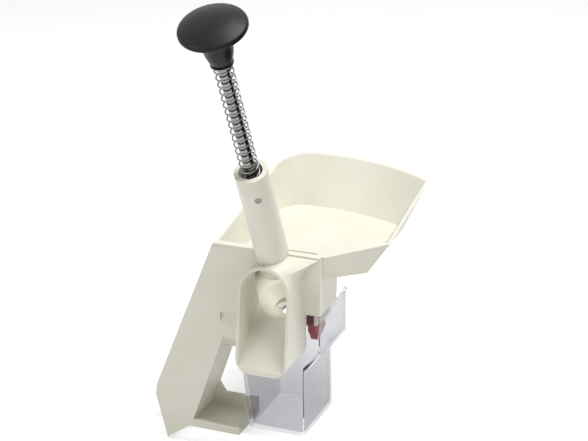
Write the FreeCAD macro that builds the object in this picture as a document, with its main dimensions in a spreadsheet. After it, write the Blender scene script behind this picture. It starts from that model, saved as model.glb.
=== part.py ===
import FreeCAD, Part
import math
import os

import Sketcher
from FreeCAD import Placement, Rotation, Vector

# A table pitter: a sprung plunger in a leaning guide tube works through a seat, a tray feeds the
# seat from behind, a clear container stands below it and a chute leads out at the front.
# Millimetres, +Z up, +Y to the back. The origin is the centre of the foot's resting face.

doc = FreeCAD.newDocument("Pitter")
sheet = doc.addObject("Spreadsheet::Sheet", "Dimensions")

DRIVING_SIZES = {
    # where the sub-assemblies lie
    "foot_depth": 33.0,
    "seat_y": 19.2,
    "seat_z": 92.6,
    "plunger_tilt": 26.0,
    # front stand
    "panel_thick": 3.0,
    "panel_left": 41.0,
    "panel_right": 31.5,
    "rim_front_z": 132.0,
    "leg_knee_x": 83.5,
    "leg_knee_z": 27.0,
    "leg_ankle_x": 84.6,
    "leg_ankle_z": 18.7,
    "stop_tip_x": 76.9,
    "stop_drop": 11.5,
    "stop_root_x": 61.0,
    "foot_left": 59.6,
    "foot_right": 25.0,
    "foot_floor": 3.0,
    "foot_lip": 5.5,
    "foot_rear_height": 12.5,
    "foot_gusset": 7.0,
    "leg_inner_top_x": 35.0,
    "leg_opening_z": 69.0,
    "leg_flange": 33.0,
    "leg_flange_thick": 2.4,
    "leg_outer_flange": 12.0,
    "recess_depth": 2.4,
    "recess_top_z": 86.0,
    "recess_ramp": 8.0,
    "recess_left": 36.5,
    "recess_right": 24.0,
    "web_depth": 11.0,
    "web_drop": 11.0,
    # chute housing
    "shell_wall": 1.8,
    "chute_half": 17.2,
    "chute_top_z": 127.0,
    "chute_bottom_z": 57.5,
    "chute_corner": 9.0,
    "rim_top_y": 13.0,
    "rim_bottom_y": 21.5,
    "lip_top_z": 60.0,
    "lip_thick": 1.8,
    "floor_bend_y": 4.0,
    "shoulder_sag": 26.0,
    "apron_y": 5.0,
    "chamber_depth": 28.5,
    "chamber_wall": 2.6,
    "chamber_flare": 1.7,
    "seat_plate": 3.0,
    "funnel_depth": 6.4,
    "funnel_radius": 7.4,
    "spigot_radius": 9.2,
    "spigot_length": 2.6,
    "skirt_drop": 7.5,
    "skirt_thick": 2.0,
    "skirt_back": 3.0,
    "lug_reach": 10.0,
    "lug_half": 5.0,
    "lug_thick": 2.6,
    "lug_x": 13.0,
    # hopper tray
    "tray_wall": 2.0,
    "tray_floor_z": 115.0,
    "tray_floor_rise": 3.2,
    "tray_rim_rise": 10.8,
    "tray_left": 40.2,
    "tray_right": 66.9,
    "tray_back": 124.2,
    "tray_corner_turn": 36.4,
    "tray_corner_y": 27.6,
    "tray_side_back_y": 107.0,
    "tray_corner_x": 33.6,
    "tray_round": 24.0,
    "tray_foot_left": 35.5,
    "tray_foot_right": 53.0,
    "tray_foot_corner_x": 23.0,
    "tray_foot_corner_y": 26.0,
    "tray_foot_side_back_y": 97.0,
    "tray_foot_back": 110.0,
    "tray_foot_round": 18.0,
    "tray_back_radius": 160.0,
    "feed_back_y": 38.0,
    "hook_reach": 0.4,
    "hook_thick": 0.9,
    "boss_radius": 3.6,
    "boss_drop": 6.0,
    # pit container
    "box_front_y": 13.7,
    "box_depth": 54.5,
    "box_wall": 1.8,
    "box_foot_left": 23.2,
    "box_left": 28.0,
    "box_left_z": 44.0,
    "box_clearance": 1.3,
    "box_foot_right": 15.4,
    "box_step_z": 47.0,
    "box_shoulder_z": 57.5,
    "box_right": 26.3,
    "box_rim_z": 87.0,
    "box_notch_z": 71.0,
    "box_notch_half": 17.7,
    "box_corner": 7.0,
    # guide tube and its bushes, along the plunger's axis from the seat
    "tube_radius": 10.3,
    "tube_bore": 7.25,
    "tube_low": 30.0,
    "tube_length": 85.0,
    "rod_radius": 3.5,
    "rod_wall": 1.0,
    "running_gap": 0.06,
    "bush_gap": 0.05,
    "spring_recess": 9.0,
    "upper_bush_length": 13.0,
    "lower_bush_inset": 0.5,
    "lower_bush_length": 8.0,
    "pin_radius": 2.2,
    "pin_inner": 4.6,
    "pin_outer": 9.9,
    "pin_turn": 30.0,
    # plunger and spring
    "rod_end_rise": 17.0,
    "tip_rise": 1.0,
    "tip_radius": 3.2,
    "blade_thick": 1.1,
    "tip_shank": 11.0,
    "clip_thick": 1.2,
    "clip_radius": 6.0,
    "clip_groove": 0.5,
    "clip_mouth": 4.6,
    "bumper_thick": 3.4,
    "bumper_radius": 5.8,
    "rest_gap": 0.4,
    "washer_thick": 0.7,
    "washer_radius": 6.8,
    "spring_length": 90.94,
    "wire": 1.0,
    "coil_radius": 5.35,
    "coil_turns": 18.0,
    "end_pitch": 1.6,
    "end_blend": 0.5,
    "neck_low_radius": 5.7,
    "neck_length": 9.1,
    "neck_high_radius": 8.3,
    "flare_radius": 10.6,
    "flare_rise": 19.1,
    "disc_radius": 19.8,
    "disc_rise": 22.8,
    "disc_edge": 3.0,
    "dome_height": 4.6,
    "dome_flat": 0.8,
    "knob_wall": 2.2,
    "insert_radius": 4.6,
    "insert_rise": 4.6,
    "insert_length": 12.0,
    "rod_top_drop": 2.0,
    # pit die and its holder
    "die_radius": 9.0,
    "die_thick": 3.0,
    "die_hole": 3.7,
    "die_slit": 6.4,
    "holder_radius": 11.6,
    "holder_floor": 2.0,
    "holder_collar": 5.2,
    "holder_hole": 7.0,
    "wing_reach": 20.6,
    "wing_half": 7.0,
    "wing_thick": 5.0,
    "wing_drop": 13.0,
    # fasteners and small gaps
    "screw_radius": 1.4,
    "screw_head_radius": 2.8,
    "screw_head": 1.8,
    "screw_crown": 2.1,
    "screw_length": 8.0,
    "screw_slot": 0.7,
    "screw_slot_half": 1.5,
    "screw_slot_depth": 1.1,
    "stand_off": 5.0,
    "stand_screw_x": 33.5,
    "stand_screw_low_z": 78.0,
    "stand_screw_high_z": 106.0,
    "body_gap": 0.35,
    "seat_gap": 0.1,
}

for row, (alias, number) in enumerate(DRIVING_SIZES.items(), start=1):
    sheet.set(f"A{row}", alias)
    sheet.set(f"B{row}", str(number))
    sheet.setAlias(f"B{row}", alias)
doc.recompute()


class Size:
    """A length from the sheet, or a sum made with some: its number and the expression behind it."""

    def __init__(self, value, text):
        self.value = float(value)
        self.text = text

    def __add__(self, other):
        other = as_size(other)
        return Size(self.value + other.value, f"({self.text} + {other.text})")

    def __sub__(self, other):
        other = as_size(other)
        return Size(self.value - other.value, f"({self.text} - {other.text})")

    def __mul__(self, other):
        other = as_size(other)
        return Size(self.value * other.value, f"({self.text} * {other.text})")

    def __truediv__(self, other):
        other = as_size(other)
        return Size(self.value / other.value, f"({self.text} / {other.text})")

    def __radd__(self, other):
        return as_size(other) + self

    def __rsub__(self, other):
        return as_size(other) - self

    def __rmul__(self, other):
        return as_size(other) * self

    def __neg__(self):
        return Size(-self.value, f"(0 - {self.text})")


def as_size(thing):
    """Any number as a Size."""
    if isinstance(thing, Size):
        return thing
    return Size(thing, f"({thing!r})")


def dim(alias):
    """The sheet's value of that name."""
    return Size(sheet.get(alias), f"Dimensions.{alias}")


def sine(angle):
    """The sine of an angle in degrees."""
    return Size(math.sin(math.radians(angle.value)), f"sin({angle.text})")


def cosine(angle):
    """The cosine of an angle in degrees."""
    return Size(math.cos(math.radians(angle.value)), f"cos({angle.text})")


def tangent(angle):
    """The tangent of an angle in degrees."""
    return Size(math.tan(math.radians(angle.value)), f"tan({angle.text})")


def new_body(label):
    """An empty body with its label."""
    body = doc.addObject("PartDesign::Body", label)
    body.Label = label
    return body


def new_sketch(body, name, plane, offset=0):
    """A sketch on one of the body's own planes, moved along the plane's normal."""
    sketch = body.newObject("Sketcher::SketchObject", name)
    for feature in body.Origin.OriginFeatures:
        if feature.Role == plane + "_Plane":
            sketch.AttachmentSupport = [(feature, "")]
    sketch.MapMode = "FlatFace"
    offset = as_size(offset)
    sketch.AttachmentOffset = Placement(Vector(0, 0, offset.value), Rotation())
    sketch.setExpression("AttachmentOffset.Base.z", offset.text)
    return sketch


def bind_point(sketch, geometry, end, point):
    """Hold one end of an edge at a point given by two sizes."""
    for kind, size in (("DistanceX", as_size(point[0])), ("DistanceY", as_size(point[1]))):
        index = sketch.addConstraint(Sketcher.Constraint(kind, -1, 1, geometry, end, size.value))
        sketch.setExpression(f"Constraints[{index}]", size.text)


def outline(sketch, points, arcs=None):
    """A closed outline through points; arcs maps an edge's number to a radius, minus for one that
    bends to the right of the way along it."""
    arcs = arcs or {}
    ends = []
    count = len(points)
    for number in range(count):
        here = [as_size(size) for size in points[number]]
        there = [as_size(size) for size in points[(number + 1) % count]]
        start = Vector(here[0].value, here[1].value, 0)
        stop = Vector(there[0].value, there[1].value, 0)
        if number not in arcs:
            edge = sketch.addGeometry(Part.LineSegment(start, stop), False)
            ends.append((edge, 1, 2))
            continue
        radius = as_size(arcs[number])
        sign = 1 if radius.value > 0 else -1
        length = abs(radius.value)
        chord = stop - start
        side = Vector(-chord.y, chord.x, 0).normalize() * sign
        height = math.sqrt(max(length**2 - (chord.Length / 2) ** 2, 0))
        centre = (start + stop) * 0.5 + side * height
        full = Part.Circle(centre, Vector(0, 0, 1), length)
        first, last = (start, stop) if sign > 0 else (stop, start)
        arc = Part.ArcOfCircle(full, full.parameter(first), full.parameter(last))
        edge = sketch.addGeometry(arc, False)
        ends.append((edge, 1, 2) if sign > 0 else (edge, 2, 1))
        index = sketch.addConstraint(Sketcher.Constraint("Radius", edge, length))
        text = radius.text if sign > 0 else (-radius).text
        sketch.setExpression(f"Constraints[{index}]", text)
    for number in range(count):
        edge, _, tail = ends[number]
        following, head, _ = ends[(number + 1) % count]
        sketch.addConstraint(Sketcher.Constraint("Coincident", edge, tail, following, head))
        bind_point(sketch, following, head, points[(number + 1) % count])


def circle(sketch, x, y, radius):
    """A circle with its centre and radius held."""
    x, y, radius = as_size(x), as_size(y), as_size(radius)
    shape = Part.Circle(Vector(x.value, y.value, 0), Vector(0, 0, 1), radius.value)
    edge = sketch.addGeometry(shape, False)
    bind_point(sketch, edge, 3, (x, y))
    index = sketch.addConstraint(Sketcher.Constraint("Radius", edge, radius.value))
    sketch.setExpression(f"Constraints[{index}]", radius.text)


def rectangle(x_low, x_high, y_low, y_high):
    """The four corners of a rectangle."""
    return [(x_low, y_low), (x_high, y_low), (x_high, y_high), (x_low, y_high)]


def extrude(body, sketch, kind, length, reverse=False):
    """A Pad or a Pocket of a sketch."""
    feature = body.newObject("PartDesign::" + kind, f"{sketch.Name}_{kind}")
    feature.Profile = sketch
    length = as_size(length)
    feature.Length = length.value
    feature.setExpression("Length", length.text)
    feature.Reversed = reverse
    doc.recompute()
    return feature


def revolve(body, sketch):
    """A full turn of a sketch about its upright axis."""
    feature = body.newObject("PartDesign::Revolution", sketch.Name + "_turned")
    feature.Profile = sketch
    feature.ReferenceAxis = (sketch, ["V_Axis"])
    feature.Angle = 360.0
    doc.recompute()
    return feature


def turned(label, points, arcs=None):
    """A body turned about its own Z axis from an outline of radius and height."""
    body = new_body(label)
    sketch = new_sketch(body, label + "_profile", "XZ")
    outline(sketch, points, arcs)
    revolve(body, sketch)
    return body


def ring(label, inner, outer, low, high):
    """A plain ring between two radii and two heights."""
    return turned(label, rectangle(inner, outer, low, high))


def fillet(body, feature, radius, wanted):
    """Round the feature's edges that the test picks."""
    names = [
        f"Edge{number}"
        for number, edge in enumerate(feature.Shape.Edges, start=1)
        if wanted(edge)
    ]
    rounding = body.newObject("PartDesign::Fillet", f"{body.Name}_round_{len(body.Group)}")
    rounding.Base = (feature, names)
    radius = as_size(radius)
    rounding.Radius = radius.value
    rounding.setExpression("Radius", radius.text)
    doc.recompute()
    return rounding


def place(feature, x=0, y=0, z=0, tilt=0, axis=Vector(1, 0, 0)):
    """Put an object at a point, turned about an axis, all bound to the sheet."""
    tilt = as_size(tilt)
    sizes = {"x": as_size(x), "y": as_size(y), "z": as_size(z)}
    spot = Vector(sizes["x"].value, sizes["y"].value, sizes["z"].value)
    feature.Placement = Placement(spot, Rotation(axis, tilt.value))
    for letter, size in sizes.items():
        feature.setExpression(f"Placement.Base.{letter}", size.text)
    if tilt.value:
        feature.setExpression("Placement.Rotation.Angle", tilt.text)


# Shared places

frame_x = (dim("foot_left") + dim("foot_right")) / 2
frame_y = -dim("foot_depth") / 2
tilt = dim("plunger_tilt")
seat_y = dim("seat_y")
seat_z = dim("seat_z")
seat_slope = tangent(tilt)

# Levels along the plunger's axis, each from the one below it

tube_low = dim("tube_low")
tube_high = tube_low + dim("tube_length")
upper_bush_high = tube_high - dim("spring_recess")
upper_bush_low = upper_bush_high - dim("upper_bush_length")
lower_bush_low = tube_low + dim("lower_bush_inset")
lower_bush_high = lower_bush_low + dim("lower_bush_length")
rod_low = tube_low + dim("rod_end_rise")
spring_low = upper_bush_high + dim("washer_thick")
spring_high = spring_low + dim("spring_length")
neck_low = spring_high + dim("washer_thick") + dim("running_gap")
neck_high = neck_low + dim("neck_length")
disc_low = neck_low + dim("disc_rise")
insert_low = neck_low + dim("insert_rise")
insert_high = insert_low + dim("insert_length")
rod_high = insert_high - dim("rod_top_drop")
bumper_high = upper_bush_low - dim("rest_gap")
clip_high = bumper_high - dim("bumper_thick")
clip_low = clip_high - dim("clip_thick")


def place_on_table(feature):
    """Pieces drawn from the table's top and the panel's front face."""
    place(feature, frame_x, frame_y, 0)


def place_on_axis(feature):
    """Pieces drawn along the plunger's axis from the seat's centre."""
    place(feature, frame_x, frame_y + seat_y, seat_z, tilt)


def seat_height(y):
    """The height of the seat's plane at a depth y."""
    return seat_z + (y - seat_y) * seat_slope


def prism(label, plane, points, low, high, arcs=None):
    """A straight solid between two places along the axis that a plane leaves out."""
    body = new_body(label)
    low = as_size(low)
    high = as_size(high)
    along_y = plane == "XZ"
    sketch = new_sketch(body, label + "_outline", plane, -low if along_y else low)
    outline(sketch, points, arcs)
    extrude(body, sketch, "Pad", high - low, reverse=along_y)
    return body


def combine(kind, label, first, others):
    """A Cut, Fuse or Common of a first object with each of the rest in turn."""
    result = first
    for number, other in enumerate(others, start=1):
        name = label if number == len(others) else f"{label}_{number}"
        step = doc.addObject("Part::" + kind, name)
        step.Label = name
        step.Base = result
        step.Tool = other
        doc.recompute()
        result = step
    return result


def union(label, shapes):
    """All the shapes joined in one object."""
    result = doc.addObject("Part::MultiFuse", label)
    result.Shapes = shapes
    doc.recompute()
    return result


def new_cylinder(label, radius, height):
    """A cylinder whose radius and height follow the sheet."""
    radius, height = as_size(radius), as_size(height)
    cylinder = doc.addObject("Part::Cylinder", label)
    cylinder.Radius = radius.value
    cylinder.Height = height.value
    cylinder.setExpression("Radius", radius.text)
    cylinder.setExpression("Height", height.text)
    return cylinder


def axis_cylinder(label, radius, low, high):
    """A cylinder along the plunger's axis, drawn from the table's top and the panel's face."""
    low = as_size(low)
    cylinder = new_cylinder(label, radius, as_size(high) - low)
    place(cylinder, 0, seat_y - low * sine(tilt), seat_z + low * cosine(tilt), tilt)
    return cylinder


# Front stand: panel, splayed leg with its stop tab, base

panel_thick = dim("panel_thick")
chute_half = dim("chute_half")
chute_top_z = dim("chute_top_z")
chute_bottom_z = dim("chute_bottom_z")
shell_wall = dim("shell_wall")
seat_gap = dim("seat_gap")
body_gap = dim("body_gap")
rim_front_z = dim("rim_front_z")
stand_screw_spots = [
    (-dim("stand_screw_x"), dim("stand_screw_low_z")),
    (-dim("stand_screw_x"), dim("stand_screw_high_z")),
]
screw_pilot = dim("screw_radius") + dim("bush_gap")


def arch(half, top, bottom, corner):
    """The chute's outline: a round top on upright sides with rounded lower corners."""
    points = [
        (corner - half, bottom),
        (half - corner, bottom),
        (half, bottom + corner),
        (half, top - half),
        (0, top),
        (-half, top - half),
        (-half, bottom + corner),
    ]
    arcs = {1: corner, 3: half, 4: half, 6: corner}
    return points, arcs


def front_stand():
    """Panel, leg, stop tab and base as one moulding."""
    body = new_body("front_stand")
    wall = dim("leg_flange_thick")
    foot_left = dim("foot_left")
    foot_right = dim("foot_right")
    foot_depth = dim("foot_depth")
    inner_top = dim("leg_inner_top_x")
    opening_z = dim("leg_opening_z")
    inner_slope = (foot_left - inner_top) / opening_z
    outer_slope = (dim("leg_knee_x") - dim("panel_left")) / (rim_front_z - dim("leg_knee_z"))

    panel = new_sketch(body, "panel_outline", "XZ")
    outline(
        panel,
        [
            (-dim("panel_left"), rim_front_z),
            (-dim("leg_knee_x"), dim("leg_knee_z")),
            (-dim("leg_ankle_x"), dim("leg_ankle_z")),
            (-dim("stop_tip_x"), -dim("stop_drop")),
            (-dim("stop_root_x"), 0),
            (-foot_right, 0),
            (-foot_right, dim("foot_lip")),
            (dim("foot_lip") * inner_slope - foot_left, dim("foot_lip")),
            (-inner_top, opening_z),
            (-chute_half / 2, opening_z),
            (-chute_half / 2, rim_front_z),
        ],
    )
    extrude(body, panel, "Pad", panel_thick, reverse=True)

    inner_flange = new_sketch(body, "inner_flange", "XZ")
    outline(
        inner_flange,
        [
            (-foot_left, 0),
            (-inner_top, opening_z),
            (-inner_top - wall, opening_z),
            (-foot_left - wall, 0),
        ],
    )
    extrude(body, inner_flange, "Pad", dim("leg_flange"), reverse=True)

    outer_flange = new_sketch(body, "outer_flange", "XZ")
    flange_top_z = dim("stand_screw_high_z")
    flange_top_x = (rim_front_z - flange_top_z) * outer_slope + dim("panel_left")
    outline(
        outer_flange,
        [
            (-flange_top_x, flange_top_z),
            (-dim("leg_knee_x"), dim("leg_knee_z")),
            (wall - dim("leg_knee_x"), dim("leg_knee_z")),
            (wall - flange_top_x, flange_top_z),
        ],
    )
    extrude(body, outer_flange, "Pad", dim("leg_outer_flange"), reverse=True)

    web = new_sketch(body, "leg_web", "YZ", -inner_top - dim("web_drop") * inner_slope)
    outline(
        web,
        [
            (0, opening_z),
            (dim("web_depth"), opening_z - dim("web_drop")),
            (dim("web_depth"), opening_z - dim("web_drop") + wall),
            (wall, opening_z + panel_thick),
            (0, opening_z + panel_thick),
        ],
    )
    web_length = inner_top + dim("web_drop") * inner_slope - chute_half - body_gap
    extrude(body, web, "Pad", web_length)

    floor = new_sketch(body, "base_floor", "XY")
    outline(floor, rectangle(-foot_left, -foot_right, 0, foot_depth))
    extrude(body, floor, "Pad", dim("foot_floor"))

    rear_wall = new_sketch(body, "base_rear_wall", "XZ", wall - foot_depth)
    rear_z = dim("foot_rear_height")
    gusset = dim("foot_gusset")
    outline(
        rear_wall,
        [
            (-foot_left, 0),
            (-foot_right, 0),
            (-foot_right, rear_z),
            (rear_z * inner_slope - foot_left + gusset, rear_z),
            ((rear_z + gusset) * inner_slope - foot_left, rear_z + gusset),
        ],
    )
    extrude(body, rear_wall, "Pad", wall, reverse=True)

    bosses = new_sketch(body, "screw_bosses", "XZ")
    for x, z in stand_screw_spots:
        circle(bosses, x, z, dim("boss_radius"))
    extrude(body, bosses, "Pad", panel_thick + dim("stand_off"), reverse=True)
    pilots = new_sketch(body, "screw_pilots", "XZ", -panel_thick / 2)
    for x, z in stand_screw_spots:
        circle(pilots, x, z, screw_pilot)
    extrude(body, pilots, "Pocket", panel_thick + dim("stand_off"))

    recess = new_sketch(body, "finger_recess", "YZ", -dim("recess_left"))
    recess_top = dim("recess_top_z")
    outline(
        recess,
        [
            (0, recess_top - dim("recess_ramp")),
            (dim("recess_depth"), recess_top),
            (0, recess_top),
        ],
    )
    extrude(body, recess, "Pocket", dim("recess_left") - dim("recess_right"), reverse=True)

    opening = new_sketch(body, "chute_opening", "XZ")
    points, arcs = arch(
        chute_half + seat_gap, chute_top_z + seat_gap, chute_bottom_z, dim("chute_corner")
    )
    outline(opening, points, arcs)
    extrude(body, opening, "Pocket", panel_thick)

    tube_way = axis_cylinder("stand_tube_way", dim("tube_radius") + seat_gap, 0, tube_high)
    body.Label = "front_stand_blank"
    stand = combine("Cut", "front_stand", body, [tube_way])
    place_on_table(stand)
    return stand


# Chute housing: discharge tunnel, shoulder, chamber, seat and spigot

chamber_front = dim("box_front_y") - body_gap
chamber_back = chamber_front + dim("chamber_depth")
chamber_low = dim("box_rim_z") + body_gap
tray_front_y = panel_thick + seat_gap
tray_slope = tangent(dim("tray_floor_rise"))
chamber_high = dim("tray_floor_z") + chamber_back * tray_slope
chamber_lean = (chamber_front - tray_front_y) / (chamber_high - chamber_low)
lug_y = chamber_back + dim("lug_reach") / 2
lug_z = dim("tray_floor_z") - dim("boss_drop")


def tray_underside(y):
    """The height of the tray's underside at a depth y."""
    return dim("tray_floor_z") + y * tray_slope


def tray_room():
    """The space above the chamber that the tray takes."""
    far_y = dim("tray_back")
    top_z = dim("tray_floor_z") + far_y
    profile = [
        (panel_thick, tray_underside(panel_thick)),
        (far_y, tray_underside(far_y)),
        (far_y, top_z),
        (panel_thick, top_z),
    ]
    return prism("tray_room", "YZ", profile, -far_y, far_y)


def chamber_block(label, inset, low, low_y, high_y):
    """The chamber as a solid that widens to the front on its way up, or its inside."""
    body = new_body(label)
    left = -dim("box_left") + inset
    right = dim("box_right") - inset
    flare = dim("chamber_flare")
    back = chamber_back - inset
    lower = new_sketch(body, label + "_foot", "XY", low)
    outline(lower, rectangle(left, right, low_y, back))
    upper = new_sketch(body, label + "_top", "XY", chamber_high)
    outline(upper, rectangle(left - flare, right + flare, high_y, back))
    loft = body.newObject("PartDesign::AdditiveLoft", label + "_loft")
    loft.Profile = lower
    loft.Sections = [upper]
    loft.Ruled = True
    doc.recompute()
    return body


def front_wall():
    """The wall right of the tunnel: upright under the rim, then back to the chamber's foot."""
    body = new_body("front_wall")
    wall = dim("chamber_wall")
    right = dim("panel_right")
    foot = new_sketch(body, "front_wall_foot", "XY", chamber_low)
    outline(foot, rectangle(0, dim("box_right"), chamber_front, chamber_front + wall))
    bend = new_sketch(body, "front_wall_bend", "XY", chamber_high)
    outline(bend, rectangle(0, right, 0, tray_front_y + shell_wall / 2))
    loft = body.newObject("PartDesign::AdditiveLoft", "front_wall_loft")
    loft.Profile = foot
    loft.Sections = [bend]
    loft.Ruled = True
    doc.recompute()
    plate = new_sketch(body, "front_wall_plate", "XZ")
    outline(plate, rectangle(0, right, chamber_high, rim_front_z))
    extrude(body, plate, "Pad", panel_thick, reverse=True)
    return body


def shoulder():
    """The bright shoulder: from the arch's right side back to the panel's upper right corner."""
    body = new_body("shoulder")
    half = chute_half
    inner_z = chute_top_z - half
    diagonal = half * math.sqrt(0.5)
    front = new_sketch(body, "shoulder_front", "XZ", dim("rim_top_y") - seat_gap)
    outline(
        front,
        [
            (0, inner_z - half / 2),
            (half, inner_z - half / 2),
            (half, inner_z),
            (diagonal, inner_z + diagonal),
            (0, chute_top_z),
        ],
        {2: half, 3: half},
    )
    back_points = [
        (0, inner_z - half / 2),
        (half, inner_z - half / 2),
        (half, inner_z),
        (dim("panel_right"), rim_front_z),
        (0, rim_front_z),
    ]
    back = new_sketch(body, "shoulder_back", "XZ")
    outline(back, back_points, {2: -dim("shoulder_sag")})
    loft = body.newObject("PartDesign::AdditiveLoft", "shoulder_loft")
    loft.Profile = front
    loft.Sections = [back]
    loft.Ruled = True
    doc.recompute()
    plate = new_sketch(body, "shoulder_plate", "XZ")
    outline(plate, back_points, {2: -dim("shoulder_sag")})
    extrude(body, plate, "Pad", panel_thick, reverse=True)
    return body


def chute_housing():
    """Tunnel and chamber in one moulding, open at the top, the front and below."""
    half = chute_half
    inner = half - shell_wall
    wall = dim("chamber_wall")
    corner = dim("chute_corner")
    rim_low = dim("rim_bottom_y")
    rim_high = dim("rim_top_y")
    bend_y = dim("floor_bend_y")
    apron = dim("apron_y")
    plate = dim("seat_plate") / cosine(tilt)
    far = dim("tray_back")
    front_y = -rim_low * 2
    lip_z = dim("lip_top_z")

    points, arcs = arch(half, chute_top_z, chute_bottom_z, corner)
    tunnel = prism("tunnel", "XZ", points, front_y, chamber_front + wall, arcs)
    chamber = chamber_block("chamber", as_size(0), chamber_low, chamber_front, tray_front_y)
    solid = combine("Fuse", "chute_solid", tunnel, [chamber, front_wall(), shoulder()])

    container_room = prism(
        "container_room",
        "YZ",
        rectangle(chamber_front, far, 0, chamber_low),
        -far,
        far,
    )
    rim_lean = (rim_low - rim_high) / (chute_top_z - chute_bottom_z)
    rim_face = prism(
        "rim_face",
        "YZ",
        [
            (front_y * 2, chute_bottom_z - corner),
            (-rim_low - corner * rim_lean, chute_bottom_z - corner),
            (corner * rim_lean - rim_high, chute_top_z + corner),
            (front_y * 2, chute_top_z + corner),
        ],
        -far,
        far,
    )
    trimmed = combine("Cut", "chute_trimmed", solid, [container_room, tray_room(), rim_face])

    funnel_top = half - seat_gap
    spigot_low = dim("funnel_depth") + dim("spigot_length")
    funnel = turned(
        "funnel",
        [
            (0, -spigot_low),
            (dim("spigot_radius"), -spigot_low),
            (dim("spigot_radius"), -dim("funnel_depth")),
            (funnel_top, -dim("seat_plate")),
            (funnel_top, 0),
            (0, 0),
        ],
    )
    place(funnel, 0, seat_y, seat_z, tilt)

    skirt_z = dim("box_rim_z") - dim("skirt_drop")
    skirt_y = chamber_front + dim("box_wall") + body_gap * 2
    rails = []
    for side, reach, sign in (("left", dim("box_left"), -1), ("right", dim("box_right"), 1)):
        outer = reach - dim("box_wall") - dim("box_clearance")
        inner_x = outer - dim("skirt_thick")
        profile = [
            (inner_x * sign, skirt_z),
            (outer * sign, skirt_z),
            (outer * sign, chamber_low),
            (reach * sign, chamber_low),
            (reach * sign, chamber_low + wall),
            (inner_x * sign, chamber_low + wall),
        ]
        rail_back = chamber_back - dim("skirt_back")
        rails.append(prism("rail_" + side, "XZ", profile, skirt_y, rail_back))

    ear = prism(
        "stand_ear",
        "XZ",
        rectangle(
            -dim("stand_screw_x") - dim("boss_radius"),
            -inner - shell_wall / 2,
            dim("stand_screw_low_z") - dim("boss_radius"),
            dim("stand_screw_high_z") + dim("boss_radius"),
        ),
        panel_thick + dim("stand_off") + seat_gap,
        panel_thick + dim("stand_off") + dim("lug_thick"),
    )
    lugs = [
        prism(
            "lug_" + side,
            "YZ",
            rectangle(
                chamber_back - wall / 2,
                chamber_back + dim("lug_reach"),
                lug_z - dim("lug_thick"),
                lug_z - seat_gap,
            ),
            centre - dim("lug_half"),
            centre + dim("lug_half"),
        )
        for side, centre in (("left", -dim("lug_x")), ("right", dim("lug_x")))
    ]
    filled = combine("Fuse", "chute_filled", trimmed, [funnel, ear] + lugs)

    above_floor = prism(
        "above_floor",
        "YZ",
        [
            (front_y * 2, lip_z - corner),
            (-rim_low - seat_gap, lip_z),
            (bend_y, seat_height(bend_y)),
            (far, seat_height(far)),
            (far, far * 2),
            (front_y * 2, far * 2),
        ],
        -far,
        far,
    )
    under_lip_z = lip_z - dim("lip_thick")
    below_floor = [
        (apron + shell_wall, 0),
        (far, 0),
        (far, seat_height(far) - plate),
        (apron + shell_wall, seat_height(apron + shell_wall) - plate),
    ]
    lip_y = dim("lip_thick") * 2 - rim_low
    below_chute = [
        (lip_y, 0),
        (apron, 0),
        (apron, seat_height(apron) - plate),
        (bend_y, seat_height(bend_y) - plate),
        (lip_y, under_lip_z),
    ]
    inner_points, inner_arcs = arch(inner, chute_top_z - shell_wall, 0, corner)
    tunnel_inside = prism(
        "tunnel_inside", "XZ", inner_points, front_y * 2, chamber_front + wall * 2, inner_arcs
    )
    inside_y = chamber_front + wall + (chamber_low - skirt_z) * chamber_lean
    chamber_inside = chamber_block(
        "chamber_inside", wall, skirt_z, inside_y, tray_front_y + shell_wall
    )
    inside = combine("Fuse", "chute_inside", tunnel_inside, [chamber_inside])
    upper_space = combine("Common", "upper_space", inside, [above_floor])
    under_seat = prism("under_seat", "YZ", below_floor, -far, far)
    under_chute = prism("under_chute", "YZ", below_chute, -far, far)
    underside = union("underside", [under_seat, under_chute])
    chute_space = combine("Common", "chute_space", inside, [underside])
    lower_space = combine("Cut", "lower_space", chute_space, [funnel])

    funnel_hole = turned(
        "funnel_hole",
        [
            (0, -spigot_low - shell_wall),
            (dim("funnel_radius"), -spigot_low - shell_wall),
            (dim("funnel_radius"), -dim("funnel_depth")),
            (inner, 0),
            (inner, shell_wall),
            (0, shell_wall),
        ],
    )
    place(funnel_hole, 0, seat_y, seat_z, tilt)
    tube_way = axis_cylinder(
        "chute_tube_way", dim("tube_radius") + seat_gap, shell_wall, tube_high
    )
    holes = []
    screw_way = dim("screw_radius") + seat_gap
    for number, (x, z) in enumerate(stand_screw_spots):
        hole = new_cylinder(f"ear_hole_{number}", screw_way, dim("stand_off") + dim("lug_thick"))
        place(hole, x, panel_thick + dim("stand_off") * 2, z, 90)
        holes.append(hole)
    for number, x in enumerate((-dim("lug_x"), dim("lug_x"))):
        hole = new_cylinder(f"lug_hole_{number}", screw_way, dim("lug_thick") * 2)
        place(hole, x, lug_y, lug_z - dim("lug_thick") * 3 / 2)
        holes.append(hole)
    spaces = [upper_space, lower_space, funnel_hole, tube_way]
    hollow = combine("Cut", "chute_hollow", filled, spaces + holes)
    housing = combine("Fuse", "chute_housing", hollow, rails)
    place_on_table(housing)
    return housing


# Hopper tray


def tray_outline(sketch, rise, sizes, inset):
    """One level of the tray: straight front and sides, a cut corner, a bowed and rounded back."""
    left, right, corner_x, corner_y, side_back, back, rounding = sizes
    stretch = cosine(rise)
    front = (tray_front_y + inset) / stretch
    turn = dim("tray_corner_turn")
    front_share = tangent(turn / 2)
    side_share = tangent((90 - turn) / 2)
    outline(
        sketch,
        [
            (inset - left, front),
            (corner_x - inset * front_share, front),
            (right - inset, (corner_y + inset * side_share) / stretch),
            (right - inset, (side_back - inset) / stretch),
            (rounding - left, (back - inset) / stretch),
            (inset - left, (back - rounding) / stretch),
        ],
        {3: dim("tray_back_radius"), 4: rounding - inset},
    )


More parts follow.
